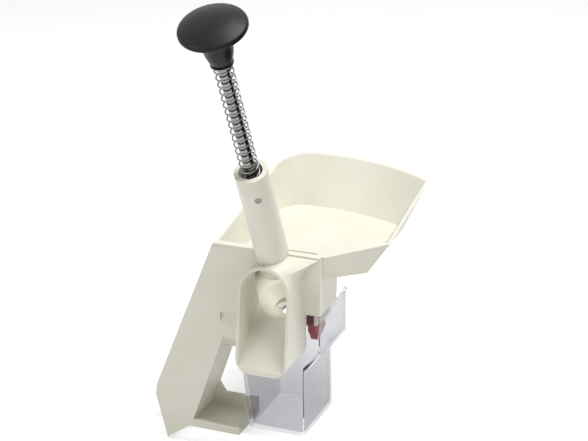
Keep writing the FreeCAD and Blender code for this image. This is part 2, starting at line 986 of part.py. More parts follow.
def sloping_sketch(body, name, height, rise):
    """A level sketch raised to a height and turned about the left-right axis."""
    sketch = new_sketch(body, name, "XY", height)
    turn = Rotation(Vector(1, 0, 0), rise.value)
    sketch.AttachmentOffset = Placement(sketch.AttachmentOffset.Base, turn)
    sketch.setExpression("AttachmentOffset.Rotation.Angle", rise.text)
    return sketch


def hopper_tray():
    """The tray that feeds the seat: flared walls, a floor with the feed opening, two bosses."""
    body = new_body("hopper_tray_blank")
    wall = dim("tray_wall")
    foot_sizes = [
        dim("tray_foot_left"),
        dim("tray_foot_right"),
        dim("tray_foot_corner_x"),
        dim("tray_foot_corner_y"),
        dim("tray_foot_side_back_y"),
        dim("tray_foot_back"),
        dim("tray_foot_round"),
    ]
    rim_sizes = [
        dim("tray_left"),
        dim("tray_right"),
        dim("tray_corner_x"),
        dim("tray_corner_y"),
        dim("tray_side_back_y"),
        dim("tray_back"),
        dim("tray_round"),
    ]
    floor_rise = dim("tray_floor_rise")
    rim_rise = dim("tray_rim_rise")
    floor_z = dim("tray_floor_z")
    for kind, inset, low in (("Additive", as_size(0), floor_z), ("Subtractive", wall, floor_z + wall)):
        foot = sloping_sketch(body, f"tray_foot_{kind}", low, floor_rise)
        tray_outline(foot, floor_rise, foot_sizes, inset)
        rim = sloping_sketch(body, f"tray_rim_{kind}", rim_front_z, rim_rise)
        tray_outline(rim, rim_rise, rim_sizes, inset)
        loft = body.newObject(f"PartDesign::{kind}Loft", f"tray_{kind}")
        loft.Profile = foot
        loft.Sections = [rim]
        loft.Ruled = True
        doc.recompute()

    hook = new_sketch(body, "rim_hook", "XY", rim_front_z + seat_gap)
    hook_front = -dim("hook_reach")
    outline(
        hook,
        rectangle(-dim("tray_left"), dim("panel_right"), hook_front, tray_front_y + wall),
    )
    extrude(body, hook, "Pad", dim("hook_thick"))

    feed = new_sketch(body, "feed_opening", "XY", floor_z * 2)
    feed_half = chute_half - shell_wall
    outline(feed, rectangle(-feed_half, feed_half, tray_front_y + wall, dim("feed_back_y")))
    extrude(body, feed, "Pocket", floor_z * 2)

    gate = new_sketch(body, "front_opening", "XZ", -tray_front_y / 2)
    points, arcs = arch(
        feed_half, chute_top_z - shell_wall, chute_bottom_z, dim("chute_corner")
    )
    outline(gate, points, arcs)
    extrude(body, gate, "Pocket", tray_front_y + wall)

    bosses = new_sketch(body, "tray_bosses", "XY", lug_z)
    for x in (-dim("lug_x"), dim("lug_x")):
        circle(bosses, x, lug_y, dim("boss_radius"))
    extrude(body, bosses, "Pad", tray_underside(lug_y) + wall / 2 - lug_z)
    pilots = new_sketch(body, "tray_pilots", "XY", lug_z)
    for x in (-dim("lug_x"), dim("lug_x")):
        circle(pilots, x, lug_y, screw_pilot)
    extrude(body, pilots, "Pocket", dim("screw_length"), reverse=True)

    tube_way = axis_cylinder("tray_tube_way", dim("tube_radius") + seat_gap, 0, tube_high)
    tray = combine("Cut", "hopper_tray", body, [tube_way])
    place_on_table(tray)
    return tray


# Container


def box_block(label, inset, top):
    """The container's outline as a solid with its two back corners rounded, or its inside."""
    body = new_body(label)
    front = dim("box_front_y") + inset
    depth = dim("box_depth") - inset * 2
    left = inset - dim("box_left")
    right = dim("box_right") - inset
    foot_left = inset - dim("box_foot_left")
    foot_right = dim("box_foot_right") - inset
    sketch = new_sketch(body, label + "_outline", "XZ", -front)
    outline(
        sketch,
        [
            (foot_left, inset),
            (foot_right, inset),
            (foot_right, dim("box_step_z") + inset / 2),
            (right, dim("box_shoulder_z") + inset / 2),
            (right, top),
            (left, top),
            (left, dim("box_left_z")),
        ],
    )
    block = extrude(body, sketch, "Pad", depth, reverse=True)
    back = (front + depth).value

    def back_corner(edge):
        return edge.BoundBox.YMin > back - 0.01 and edge.BoundBox.ZLength > dim("box_corner").value

    fillet(body, block, dim("box_corner") - inset, back_corner)
    return body


def pit_container():
    """The clear container: an open box that tapers on the left and steps in below on the right."""
    wall = dim("box_wall")
    front = dim("box_front_y")
    rim_z = dim("box_rim_z")
    outside = box_block("box_outside", as_size(0), rim_z)
    inside = box_block("box_inside", wall, rim_z + wall)
    half = dim("box_notch_half")
    notch = prism(
        "box_notch",
        "XZ",
        rectangle(-half, half, dim("box_notch_z"), rim_z + wall),
        front - wall,
        front + wall * 2,
    )
    container = combine("Cut", "pit_container", outside, [inside, notch])
    place_on_table(container)
    return container


# Guide tube with its bushes and pin

rod_way = dim("rod_radius") + dim("running_gap")
bush_radius = dim("tube_bore") - dim("bush_gap")
pin_turn = dim("pin_turn")


def pin_sketch(body, name, start, radius):
    """A circle on a plane that faces the pin's direction, at a distance from the axis."""
    sketch = new_sketch(body, name, "XZ")
    start = as_size(start)
    across = start * sine(pin_turn)
    outward = start * cosine(pin_turn)
    turn = Rotation(Vector(0, 1, 0), pin_turn.value)
    sketch.AttachmentOffset = Placement(Vector(across.value, 0, outward.value), turn)
    sketch.setExpression("AttachmentOffset.Base.x", across.text)
    sketch.setExpression("AttachmentOffset.Base.z", outward.text)
    sketch.setExpression("AttachmentOffset.Rotation.Angle", pin_turn.text)
    circle(sketch, 0, (upper_bush_low + upper_bush_high) / 2, radius)
    return sketch


def with_pin_hole(body, inner):
    """Open a hole for the pin, from outside the tube in to a radius."""
    start = dim("tube_radius") * 2
    sketch = pin_sketch(body, body.Name + "_pin_hole", start, dim("pin_radius") + dim("bush_gap"))
    extrude(body, sketch, "Pocket", start - inner)
    return body


def tube_pieces():
    """Tube, two bushes, pin and the washer under the spring."""
    tube = ring("guide_tube", dim("tube_bore"), dim("tube_radius"), tube_low, tube_high)
    with_pin_hole(tube, dim("tube_bore") / 2)
    upper = ring("upper_bush", rod_way, bush_radius, upper_bush_low, upper_bush_high)
    with_pin_hole(upper, dim("pin_inner") - dim("bush_gap"))
    lower = ring("lower_bush", rod_way, bush_radius, lower_bush_low, lower_bush_high)
    pin = new_body("bush_pin")
    shank = pin_sketch(pin, "pin_shank", dim("pin_inner"), dim("pin_radius"))
    extrude(pin, shank, "Pad", dim("pin_outer") - dim("pin_inner"))
    washer = ring(
        "lower_spring_washer",
        rod_way,
        dim("washer_radius"),
        upper_bush_high,
        spring_low,
    )
    pieces = [tube, upper, lower, pin, washer]
    for piece in pieces:
        place_on_axis(piece)
    return pieces


# Plunger: rod, punch, clip, bumper, upper washer, knob and its insert

fit_gap = dim("bush_gap")


def plunger_rod():
    """The hollow rod with the clip's groove."""
    outer = dim("rod_radius")
    inner = outer - dim("rod_wall")
    groove = outer - dim("clip_groove")
    groove_low = clip_low - fit_gap
    groove_high = clip_high + fit_gap
    return turned(
        "plunger_rod",
        [
            (inner, rod_low),
            (outer, rod_low),
            (outer, groove_low),
            (groove, groove_low),
            (groove, groove_high),
            (outer, groove_high),
            (outer, rod_high),
            (inner, rod_high),
        ],
    )


def pitting_tip():
    """The punch: four blades below a shank that sits in the rod."""
    body = new_body("pitting_tip")
    shank = dim("rod_radius") - dim("rod_wall") - fit_gap
    low = tube_low + dim("tip_rise")
    high = rod_low - fit_gap
    half = dim("blade_thick") / 2
    radius = dim("tip_radius")
    stem = new_sketch(body, "tip_stem", "XY", high)
    circle(stem, 0, 0, shank)
    extrude(body, stem, "Pad", dim("tip_shank"))
    for number, sizes in enumerate(((radius, half), (half, radius))):
        blade = new_sketch(body, f"tip_blade_{number}", "XY", low)
        outline(blade, rectangle(-sizes[0], sizes[0], -sizes[1], sizes[1]))
        extrude(body, blade, "Pad", high - low)
    collar = new_sketch(body, "tip_collar", "XY", high - half)
    circle(collar, 0, 0, radius)
    extrude(body, collar, "Pad", half)
    return body


def rest_clip():
    """The clip that stops the plunger on its way up: a ring with an open mouth."""
    inner = dim("rod_radius") - dim("clip_groove") + fit_gap
    body = ring("rest_clip", inner, dim("clip_radius"), clip_low, clip_high)
    mouth = new_sketch(body, "clip_opening", "XY", clip_low)
    half = dim("clip_mouth") / 2
    outline(mouth, rectangle(-half, half, 0, dim("clip_radius") * 2))
    extrude(body, mouth, "Pocket", dim("clip_thick"), reverse=True)
    return body


def knob():
    """The knob: a necked stem that flares into a wide domed disc, hollow below."""
    body = new_body("knob")
    wall = dim("knob_wall")
    bore = dim("rod_radius") + fit_gap
    insert = dim("insert_radius") + fit_gap
    disc = dim("disc_radius")
    disc_top = disc_low + dim("disc_edge")
    neck = dim("neck_high_radius")
    flare = dim("flare_radius")
    underside = disc_low + wall / 2
    rounding = dim("disc_edge") / 2
    dome = dim("dome_height")
    dome_top = disc_top + dome
    crown = dim("dome_flat")
    reach = disc - rounding - crown
    profile = new_sketch(body, "knob_profile", "XZ")
    outline(
        profile,
        [
            (bore, neck_low),
            (dim("neck_low_radius"), neck_low),
            (neck, neck_high),
            (flare, neck_low + dim("flare_rise")),
            (flare + wall / 2, underside),
            (disc - wall, underside),
            (disc - wall, disc_low),
            (disc - rounding, disc_low),
            (disc, disc_low + rounding),
            (disc - rounding, disc_top),
            (crown, dome_top),
            (0, dome_top),
            (0, insert_high),
            (insert, insert_high),
            (insert, insert_low - fit_gap),
            (bore, insert_low - fit_gap),
        ],
        {
            2: -disc,
            7: rounding,
            8: rounding,
            9: (reach * reach + dome * dome) / (dome * 2),
        },
    )
    revolve(body, profile)
    return body


def plunger_pieces():
    """Everything that moves with the rod."""
    bumper = ring(
        "bumper_ring",
        dim("rod_radius") + fit_gap,
        dim("bumper_radius"),
        clip_high,
        bumper_high,
    )
    washer = ring(
        "upper_spring_washer",
        dim("rod_radius") + fit_gap,
        dim("washer_radius"),
        spring_high,
        spring_high + dim("washer_thick"),
    )
    insert = ring(
        "knob_insert",
        dim("rod_radius") + fit_gap,
        dim("insert_radius"),
        insert_low,
        insert_high - fit_gap,
    )
    pieces = [plunger_rod(), pitting_tip(), rest_clip(), bumper, washer, knob(), insert]
    for piece in pieces:
        place_on_axis(piece)
    return pieces


# Return spring


def unit(vector):
    """The vector at length one."""
    return Vector(vector).normalize()


def arc_edge(start, tangent_at_start, stop):
    """The arc that leaves a point along a tangent and ends at another point."""
    chord = stop - start
    along = unit(chord)
    cosine_half = tangent_at_start.dot(along)
    across = tangent_at_start - along * cosine_half
    half_turn = math.acos(min(cosine_half, 1.0))
    rise = chord.Length / 2 * math.tan(half_turn / 2)
    middle = (start + stop) * 0.5 + unit(across) * rise
    return Part.Arc(start, middle, stop).toShape()


def biarc(start, tangent_in, stop, tangent_out):
    """Two arcs that meet smoothly between two points with their tangents."""
    chord = stop - start
    square = 2 * (1 - tangent_in.dot(tangent_out))
    linear = 2 * chord.dot(tangent_in + tangent_out)
    root = math.sqrt(linear**2 + 4 * square * chord.dot(chord))
    reach = (root - linear) / (2 * square)
    joint = (start + stop + (tangent_in - tangent_out) * reach) * 0.5
    meeting = unit(stop - start - (tangent_in + tangent_out) * reach)
    return [arc_edge(start, tangent_in, joint), arc_edge(joint, meeting, stop)]


def return_spring():
    """A round wire in one unbroken coil with a flatter turn at each end."""
    wire = sheet.wire
    radius = sheet.coil_radius
    turns = sheet.coil_turns
    flat = sheet.end_pitch
    low = spring_low.value + wire / 2 + sheet.bush_gap
    high = spring_high.value - wire / 2 - sheet.bush_gap
    blend = sheet.end_blend
    pitch = (high - low - flat * (2 + blend)) / (turns - 2 - blend)
    quarters = round(turns * 4)

    def slope(turn):
        from_end = min(turn, turns - turn)
        share = min(max((from_end - 1) / blend, 0), 1)
        return flat + (pitch - flat) * share

    def height(turn):
        if turn > turns / 2:
            return high - (height(turns - turn) - low)
        ramp = min(max(turn - 1, 0), blend)
        rest = max(turn - 1 - blend, 0)
        return low + flat * turn + (pitch - flat) * (ramp**2 / (2 * blend) + rest)

    points = []
    tangents = []
    for quarter in range(quarters + 1):
        turn = quarter / 4
        angle = 2 * math.pi * turn
        points.append(Vector(radius * math.cos(angle), radius * math.sin(angle), height(turn)))
        forward = Vector(-math.sin(angle), math.cos(angle), 0) * (2 * math.pi * radius)
        tangents.append(unit(forward + Vector(0, 0, slope(turn))))
    edges = [Part.LineSegment(points[0] - tangents[0] * wire, points[0]).toShape()]
    for quarter in range(quarters):
        edges += biarc(
            points[quarter], tangents[quarter], points[quarter + 1], tangents[quarter + 1]
        )
    edges.append(Part.LineSegment(points[-1], points[-1] + tangents[-1] * wire).toShape())
    path = Part.Wire(edges)
    print(f"spring: least gap between turns {least_gap(path, points, wire):.2f} mm")
    section = Part.Wire(Part.Circle(points[0] - tangents[0] * wire, tangents[0], wire / 2).toShape())
    spring = doc.addObject("Part::Feature", "return_spring")
    spring.Shape = path.makePipeShell([section], True, False)
    place_on_axis(spring)
    return spring


def least_gap(path, points, wire):
    """The smallest clear distance between points of the coil that lie over half a turn apart."""
    spots = path.discretize(Number=len(points) * 8)
    apart = (points[1] - points[0]).Length * 2
    step = (spots[1] - spots[0]).Length
    skip = round(apart * 1.3 / step)
    least = min(
        (one - other).Length
        for number, one in enumerate(spots)
        for other in spots[number + skip : number + skip * 4]
    )
    return least - wire


# Die under the seat and its holder

spigot_low = dim("funnel_depth") + dim("spigot_length")


def die_pieces():
    """The soft die and the cup with two wings that holds it on the spigot."""
    thick = dim("die_thick")
    die_low = -spigot_low - thick
    die = ring("pit_die", dim("die_hole"), dim("die_radius"), die_low, -spigot_low)
    slit = dim("die_slit")
    half = dim("blade_thick") / 4
    for number, sizes in enumerate(((slit, half), (half, slit))):
        cut = new_sketch(die, f"die_slit_{number}", "XY", die_low)
        outline(cut, rectangle(-sizes[0], sizes[0], -sizes[1], sizes[1]))
        extrude(die, cut, "Pocket", thick, reverse=True)

    floor = dim("holder_floor")
    floor_low = die_low - floor
    holder = new_body("die_holder")
    arms = new_sketch(holder, "holder_arms", "XY", floor_low)
    reach = dim("wing_reach")
    outline(arms, rectangle(-reach, reach, -dim("wing_half"), dim("wing_half")))
    extrude(holder, arms, "Pad", floor)
    cup = new_sketch(holder, "holder_cup", "XY", floor_low)
    circle(cup, 0, 0, dim("holder_radius"))
    extrude(holder, cup, "Pad", floor + thick + dim("holder_collar") / 2)
    socket = new_sketch(holder, "holder_socket", "XY", die_low)
    circle(socket, 0, 0, dim("spigot_radius") + seat_gap)
    extrude(holder, socket, "Pocket", thick + dim("holder_collar"), reverse=True)
    hole = new_sketch(holder, "holder_hole_outline", "XY", floor_low)
    circle(hole, 0, 0, dim("holder_hole"))
    extrude(holder, hole, "Pocket", floor, reverse=True)
    wings = new_sketch(holder, "holder_wings", "XY", die_low)
    inner = reach - dim("wing_thick")
    for low, high in ((-reach, -inner), (inner, reach)):
        outline(wings, rectangle(low, high, -dim("wing_half"), dim("wing_half")))
    extrude(holder, wings, "Pad", floor + dim("wing_drop"), reverse=True)
    pieces = [die, holder]
    for piece in pieces:
        place_on_axis(piece)
    return pieces


# Screws


def screw(label, x, y, z, turn):
    """A pan-head screw with a cross slot, its head's underside at a point."""
    radius = dim("screw_radius")
    head = dim("screw_head_radius")
    body = turned(
        label,
        [
            (0, -dim("screw_head")),
            (dim("screw_crown"), -dim("screw_head")),
            (head, -dim("screw_head") / 2),
            (head, 0),
            (radius, 0),
            (radius, dim("screw_length") - radius),
            (0, dim("screw_length")),
        ],
    )
    half = dim("screw_slot") / 2
    arm = dim("screw_slot_half")
    for number, sizes in enumerate(((arm, half), (half, arm))):
        slot = new_sketch(body, f"{label}_slot_{number}", "XY", -dim("screw_head"))
        outline(slot, rectangle(-sizes[0], sizes[0], -sizes[1], sizes[1]))
        extrude(body, slot, "Pocket", dim("screw_slot_depth"), reverse=True)
    place(body, frame_x + x, frame_y + y, z, turn)
    return body


def screws():
    """Two screws up through the lugs and two forward through the ear."""
    lug_low = lug_z - dim("lug_thick") - fit_gap
    ear_back = panel_thick + dim("stand_off") + dim("lug_thick") + fit_gap
    groups = []
    for label, places in (
        ("tray_screws", [(x, lug_y, lug_low, 0) for x in (-dim("lug_x"), dim("lug_x"))]),
        ("stand_screws", [(x, ear_back, z, 90) for x, z in stand_screw_spots]),
    ):
        group = doc.addObject("Part::Compound", label)
        group.Links = [screw(f"{label}_{number}", *spot) for number, spot in enumerate(places)]
        groups.append(group)
    doc.recompute()
    return groups


# Check and write


def export(pieces):
    """Check every object, then write one file for each piece."""
    doc.recompute()
    for thing in doc.Objects:
        if "Invalid" in thing.State or "Error" in thing.State:
            raise RuntimeError(f"{thing.Label} failed: {thing.State}")
    for piece in pieces:
        if piece.Shape.isNull() or not piece.Shape.isValid():
            raise RuntimeError(f"{piece.Label} has no valid shape")
    os.makedirs("parts", exist_ok=True)
    for piece in pieces:
        piece.Shape.exportStep(f"parts/{piece.Label}.step")
        solids = len(piece.Shape.Solids)
        print(f"{piece.Label}: {solids} solid(s), {piece.Shape.Volume / 1000:.2f} cm3")


pieces = [front_stand(), chute_housing(), hopper_tray(), pit_container()]
pieces += tube_pieces() + plunger_pieces() + [return_spring()] + die_pieces() + screws()
export(pieces)
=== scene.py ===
# %% [markdown]
# # A table pitter in its photograph's light
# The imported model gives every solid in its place. This lesson gives the solids the finishes of
# the real thing, models the few pieces that need softer forms than plain solids have, and sets up
# the camera and the light. Lengths are metres, +Z is up, and +Y points to the back.

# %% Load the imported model
import math

import bmesh
import bpy
from mathutils import Matrix, Vector


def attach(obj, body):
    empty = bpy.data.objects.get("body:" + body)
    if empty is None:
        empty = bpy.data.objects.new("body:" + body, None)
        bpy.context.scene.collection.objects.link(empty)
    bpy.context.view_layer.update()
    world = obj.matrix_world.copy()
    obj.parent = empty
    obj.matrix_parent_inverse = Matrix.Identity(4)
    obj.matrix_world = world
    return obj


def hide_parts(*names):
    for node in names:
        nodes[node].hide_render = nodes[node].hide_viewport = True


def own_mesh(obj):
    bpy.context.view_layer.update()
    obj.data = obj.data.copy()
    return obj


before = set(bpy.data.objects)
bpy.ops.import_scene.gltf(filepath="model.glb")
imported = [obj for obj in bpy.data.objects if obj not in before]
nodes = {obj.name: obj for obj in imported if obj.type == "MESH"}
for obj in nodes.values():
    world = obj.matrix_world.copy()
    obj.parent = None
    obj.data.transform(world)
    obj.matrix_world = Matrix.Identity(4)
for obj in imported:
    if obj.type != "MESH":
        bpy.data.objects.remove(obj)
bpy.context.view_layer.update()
scene = bpy.context.scene

# %% [markdown]
# ## The camera
# The picture was taken from a little to the right and above, with a long lens. A camera is placed
# by its three directions: to its right, up, and back. Building that matrix from the two angles
# and a slight roll is steadier than aiming it by hand.

# %% Place the camera
VIEW_FROM_RIGHT = math.radians(22.17)
VIEW_FROM_ABOVE = math.radians(21.21)
VIEW_ROLL = math.radians(-0.34)
CAMERA_SPOT = Vector((0.3984, -0.8547, 0.5067))
FOCAL_PIXELS = 1600.0
PICTURE_WIDTH = 588.0


def camera_turn():
    """The camera's own directions as a rotation."""
    forward = Vector(
        (
            -math.sin(VIEW_FROM_RIGHT) * math.cos(VIEW_FROM_ABOVE),
            math.cos(VIEW_FROM_RIGHT) * math.cos(VIEW_FROM_ABOVE),
            -math.sin(VIEW_FROM_ABOVE),
        )
    )
    right = Vector((math.cos(VIEW_FROM_RIGHT), math.sin(VIEW_FROM_RIGHT), 0))
    up = right.cross(forward)
    rolled_right = right * math.cos(VIEW_ROLL) + up * math.sin(VIEW_ROLL)
    rolled_up = up * math.cos(VIEW_ROLL) - right * math.sin(VIEW_ROLL)
    return Matrix((rolled_right, rolled_up, -forward)).transposed()


lens = bpy.data.cameras.new("picture_camera")
lens.sensor_fit = "HORIZONTAL"
lens.sensor_width = 36.0
lens.lens = lens.sensor_width * FOCAL_PIXELS / PICTURE_WIDTH
lens.clip_start = 0.05
lens.clip_end = 20.0
camera = bpy.data.objects.new("picture_camera", lens)
scene.collection.objects.link(camera)
camera.matrix_world = Matrix.Translation(CAMERA_SPOT) @ camera_turn().to_4x4()
scene.camera = camera
print(f"camera: {lens.lens:.1f} mm lens")

# %% [markdown]
# ## Helpers for finishes
# A finish is a set of nodes. Small functions keep the later cells short: one starts a material
# with its Principled shader, another places a node and links what goes into it. Values that are
# the same all over a surface are set on the shader itself. Noise is drawn by its scale, but a
# maker thinks in sizes, so a small helper turns one into the other.

# %% Node helpers


def start_finish(name, **settings):
    """A material with its Principled shader; settings go to the shader's sockets."""
    finish = bpy.data.materials.new(name)
    finish.use_nodes = True
    shader = finish.node_tree.nodes["Principled BSDF"]
    for socket, value in settings.items():
        shader.inputs[socket.replace("_", " ")].default_value = value
    return finish, finish.node_tree, shader


def add_node(tree, kind, inputs=None, **fields):
    """A node with its fields set and its inputs given a value or a link."""
    node = tree.nodes.new(kind)
    for field, value in fields.items():
        setattr(node, field, value)
    for socket, value in (inputs or {}).items():
        if isinstance(value, bpy.types.NodeSocket):
            tree.links.new(value, node.inputs[socket])
        else:
            node.inputs[socket].default_value = value
    return node


def multiply_add(tree, value, factor, offset):
    """value * factor + offset, as one node."""
    inputs = {0: value, 1: factor, 2: offset}
    return add_node(tree, "ShaderNodeMath", inputs, operation="MULTIPLY_ADD").outputs[0]


def scale_for(tree, size):
    """The scale of a noise whose features have this size."""
    return add_node(tree, "ShaderNodeMath", {0: 1.0, 1: size}, operation="DIVIDE").outputs[0]


def object_place(tree):
    """Coordinates that stay with the object, in metres."""
    return add_node(tree, "ShaderNodeTexCoord").outputs["Object"]


def new_effect(name, inputs, outputs):
    """An empty shader node group with named inputs and outputs."""
    group = bpy.data.node_groups.new(name, "ShaderNodeTree")
    for label, kind, value in inputs:
        socket = group.interface.new_socket(name=label, in_out="INPUT", socket_type=kind)
        socket.default_value = value
    for label, kind in outputs:
        group.interface.new_socket(name=label, in_out="OUTPUT", socket_type=kind)
    return group, group.nodes.new("NodeGroupInput"), group.nodes.new("NodeGroupOutput")


def use_effect(tree, group, **values):
    """A group placed in a material with its own values."""
    node = tree.nodes.new("ShaderNodeGroup")
    node.node_tree = group
    for label, value in values.items():
        socket = node.inputs[label.replace("_", " ")]
        if isinstance(value, bpy.types.NodeSocket):
            tree.links.new(value, socket)
        else:
            socket.default_value = value
    return node


print("node helpers ready")

# %% [markdown]
# ## The grain of moulded plastic
# A moulded part isn't perfectly smooth: it takes the fine spark-eroded texture of its mould, and
# it shows slow changes of tone where the melt flowed and cooled. One group gives both: a tinted
# colour, a roughness that varies a little, and a height for the Bump node.

# %% Group: moulded grain
FLOAT = "NodeSocketFloat"
COLOUR = "NodeSocketColor"


def build_moulded_grain():
    """Two tones, a varying roughness and a fine relief."""
    group, start, end = new_effect(
        "moulded grain",
        [
            ("Colour", COLOUR, (0.8, 0.8, 0.8, 1)),
            ("Deep Colour", COLOUR, (0.7, 0.7, 0.7, 1)),
            ("Grain Size", FLOAT, 0.0006),
            ("Tone Size", FLOAT, 0.03),
            ("Roughness", FLOAT, 0.4),
            ("Roughness Spread", FLOAT, 0.1),
        ],
        [("Colour", COLOUR), ("Roughness", FLOAT), ("Height", FLOAT)],
    )
    place = object_place(group)
    tone_scale = scale_for(group, start.outputs["Tone Size"])
    grain_scale = scale_for(group, start.outputs["Grain Size"])
    tone = add_node(
        group,
        "ShaderNodeTexNoise",
        {"Vector": place, "Scale": tone_scale, "Detail": 3.0, "Roughness": 0.55},
    )
    grain = add_node(
        group,
        "ShaderNodeTexNoise",
        {"Vector": place, "Scale": grain_scale, "Detail": 2.0, "Roughness": 0.6},
    )
    tone_range = add_node(
        group,
        "ShaderNodeMapRange",
        {"Value": tone.outputs["Fac"], "From Min": 0.35, "From Max": 0.65},
    )
    mixed = add_node(
        group,
        "ShaderNodeMix",
        {
            "Factor": tone_range.outputs["Result"],
            "A": start.outputs["Colour"],
            "B": start.outputs["Deep Colour"],
        },
        data_type="RGBA",
    )
    spread = multiply_add(
        group,
        tone.outputs["Fac"],
        start.outputs["Roughness Spread"],
        start.outputs["Roughness"],
    )
    group.links.new(mixed.outputs["Result"], end.inputs["Colour"])
    group.links.new(spread, end.inputs["Roughness"])
    group.links.new(grain.outputs["Fac"], end.inputs["Height"])
    return group


moulded_grain = build_moulded_grain()
print("group:", moulded_grain.name)

# %% [markdown]
# ## Handling marks
# Things that are used and washed pick up faint rubbed patches and hair scratches. A stretched
# noise gives the scratches, a coarse one says where they gather, and the two together make a mask
# that a material can add to its roughness.

# %% Group: handling marks


def build_handling_marks():
    """A mask of rubbed patches, and the hair scratches that lie in them."""
    group, start, end = new_effect(
        "handling marks",
        [("Patch Size", FLOAT, 0.02), ("Scratch Size", FLOAT, 0.0007), ("Turn", FLOAT, 0.5)],
        [("Mask", FLOAT), ("Scratches", FLOAT)],
    )
    place = object_place(group)
    patch_scale = scale_for(group, start.outputs["Patch Size"])
    patches = add_node(
        group,
        "ShaderNodeTexNoise",
        {"Vector": place, "Scale": patch_scale, "Detail": 4.0, "Roughness": 0.6},
    )
    gathered = add_node(
        group,
        "ShaderNodeMapRange",
        {"Value": patches.outputs["Fac"], "From Min": 0.48, "From Max": 0.72},
    )
    turned = add_node(
        group,
        "ShaderNodeVectorRotate",
        {"Vector": place, "Angle": start.outputs["Turn"], "Axis": (0.4, 0.7, 0.6)},
    )
    drawn_out = add_node(
        group, "ShaderNodeVectorMath", {0: turned.outputs[0], 1: (1.0, 0.04, 0.6)},
        operation="MULTIPLY",
    )
    scratch_scale = scale_for(group, start.outputs["Scratch Size"])
    lines = add_node(
        group,
        "ShaderNodeTexNoise",
        {"Vector": drawn_out.outputs[0], "Scale": scratch_scale, "Detail": 1.0},
    )
    thin = add_node(
        group,
        "ShaderNodeMapRange",
        {"Value": lines.outputs["Fac"], "From Min": 0.66, "From Max": 0.72},
    )
    held = add_node(
        group,
        "ShaderNodeMath",
        {0: thin.outputs["Result"], 1: gathered.outputs["Result"]},
        operation="MULTIPLY",
    )
    group.links.new(gathered.outputs["Result"], end.inputs["Mask"])
    group.links.new(held.outputs[0], end.inputs["Scratches"])
    return group


handling_marks = build_handling_marks()
print("group:", handling_marks.name)

# %% [markdown]
# ## Drawn metal
# A rod that is drawn and polished, and wire that is drawn through a die, carry fine lines along
# their length. In the plunger's own directions that is a noise which hardly changes along the
# axis.

# %% Group: drawn lines
PLUNGER_LEAN = math.radians(26.0)
SEAT_CENTRE = Vector((0.0423, 0.0027, 0.0926))
PLUNGER_PLACE = Matrix.Translation(SEAT_CENTRE) @ Matrix.Rotation(PLUNGER_LEAN, 4, "X")
SMEARS_PER_METRE = 90.0


def build_drawn_lines():
    """Fine lines along the plunger's axis, and slow smears over them."""
    group, start, end = new_effect(
        "drawn lines",
        [("Line Size", FLOAT, 0.0003), ("Along", FLOAT, 0.02)],
        [("Lines", FLOAT), ("Smears", FLOAT)],
    )
    place = object_place(group)
    upright = add_node(
        group,
        "ShaderNodeVectorRotate",
        {"Vector": place, "Center": SEAT_CENTRE, "Axis": (1, 0, 0), "Angle": -PLUNGER_LEAN},
    )
    line_scale = scale_for(group, start.outputs["Line Size"])
    stretch = add_node(
        group, "ShaderNodeCombineXYZ", {"X": 1.0, "Y": 1.0, "Z": start.outputs["Along"]}
    )
    drawn = add_node(
        group,
        "ShaderNodeVectorMath",
        {0: upright.outputs[0], 1: stretch.outputs[0]},
        operation="MULTIPLY",
    )
    lines = add_node(
        group,
        "ShaderNodeTexNoise",
        {"Vector": drawn.outputs[0], "Scale": line_scale, "Detail": 2.0},
    )
    smears = add_node(
        group,
        "ShaderNodeTexNoise",
        {"Vector": place, "Scale": SMEARS_PER_METRE, "Detail": 3.0, "Roughness": 0.65},
    )
    group.links.new(lines.outputs["Fac"], end.inputs["Lines"])
    group.links.new(smears.outputs["Fac"], end.inputs["Smears"])
    return group


drawn_lines = build_drawn_lines()
print("group:", drawn_lines.name)

# %% [markdown]
# ## Opaque plastics
# The stand, housing, tray and tube are one ivory plastic, glossy enough for soft reflections. The
# knob is black with a satin skin, the holder below the seat dark red, and the bushes a plain
# white. All use the same two groups with different values, which keeps them one family. The
# silicone of the die and the rubber of the bumper are moulded too, so they join it with a duller
# skin.

# %% Plastic finishes
PLASTIC_RELIEF = 0.00006
SCRATCH_DEPTH = -0.5
RUBBED_SHARE = 0.6


def plastic_finish(name, colour, deep, roughness, spread, grain, bump, **settings):
    """A moulded plastic: its tones, its grain and its handling marks."""
    finish, tree, shader = start_finish(name, **settings)
    skin = use_effect(
        tree,
        moulded_grain,
        Colour=(*colour, 1),
        Deep_Colour=(*deep, 1),
        Grain_Size=grain,
        Roughness=roughness,
        Roughness_Spread=spread,
    )
    marks = use_effect(tree, handling_marks, Patch_Size=0.025, Scratch_Size=0.0009)
    rubbed = spread * RUBBED_SHARE
    rough = multiply_add(tree, marks.outputs["Mask"], rubbed, skin.outputs["Roughness"])
    height = multiply_add(tree, marks.outputs["Scratches"], SCRATCH_DEPTH, skin.outputs["Height"])
    relief = add_node(
        tree,
        "ShaderNodeBump",
        {"Strength": bump, "Distance": PLASTIC_RELIEF, "Height": height},
    )
    tree.links.new(skin.outputs["Colour"], shader.inputs["Base Color"])
    tree.links.new(rough, shader.inputs["Roughness"])
    tree.links.new(relief.outputs["Normal"], shader.inputs["Normal"])
    return finish


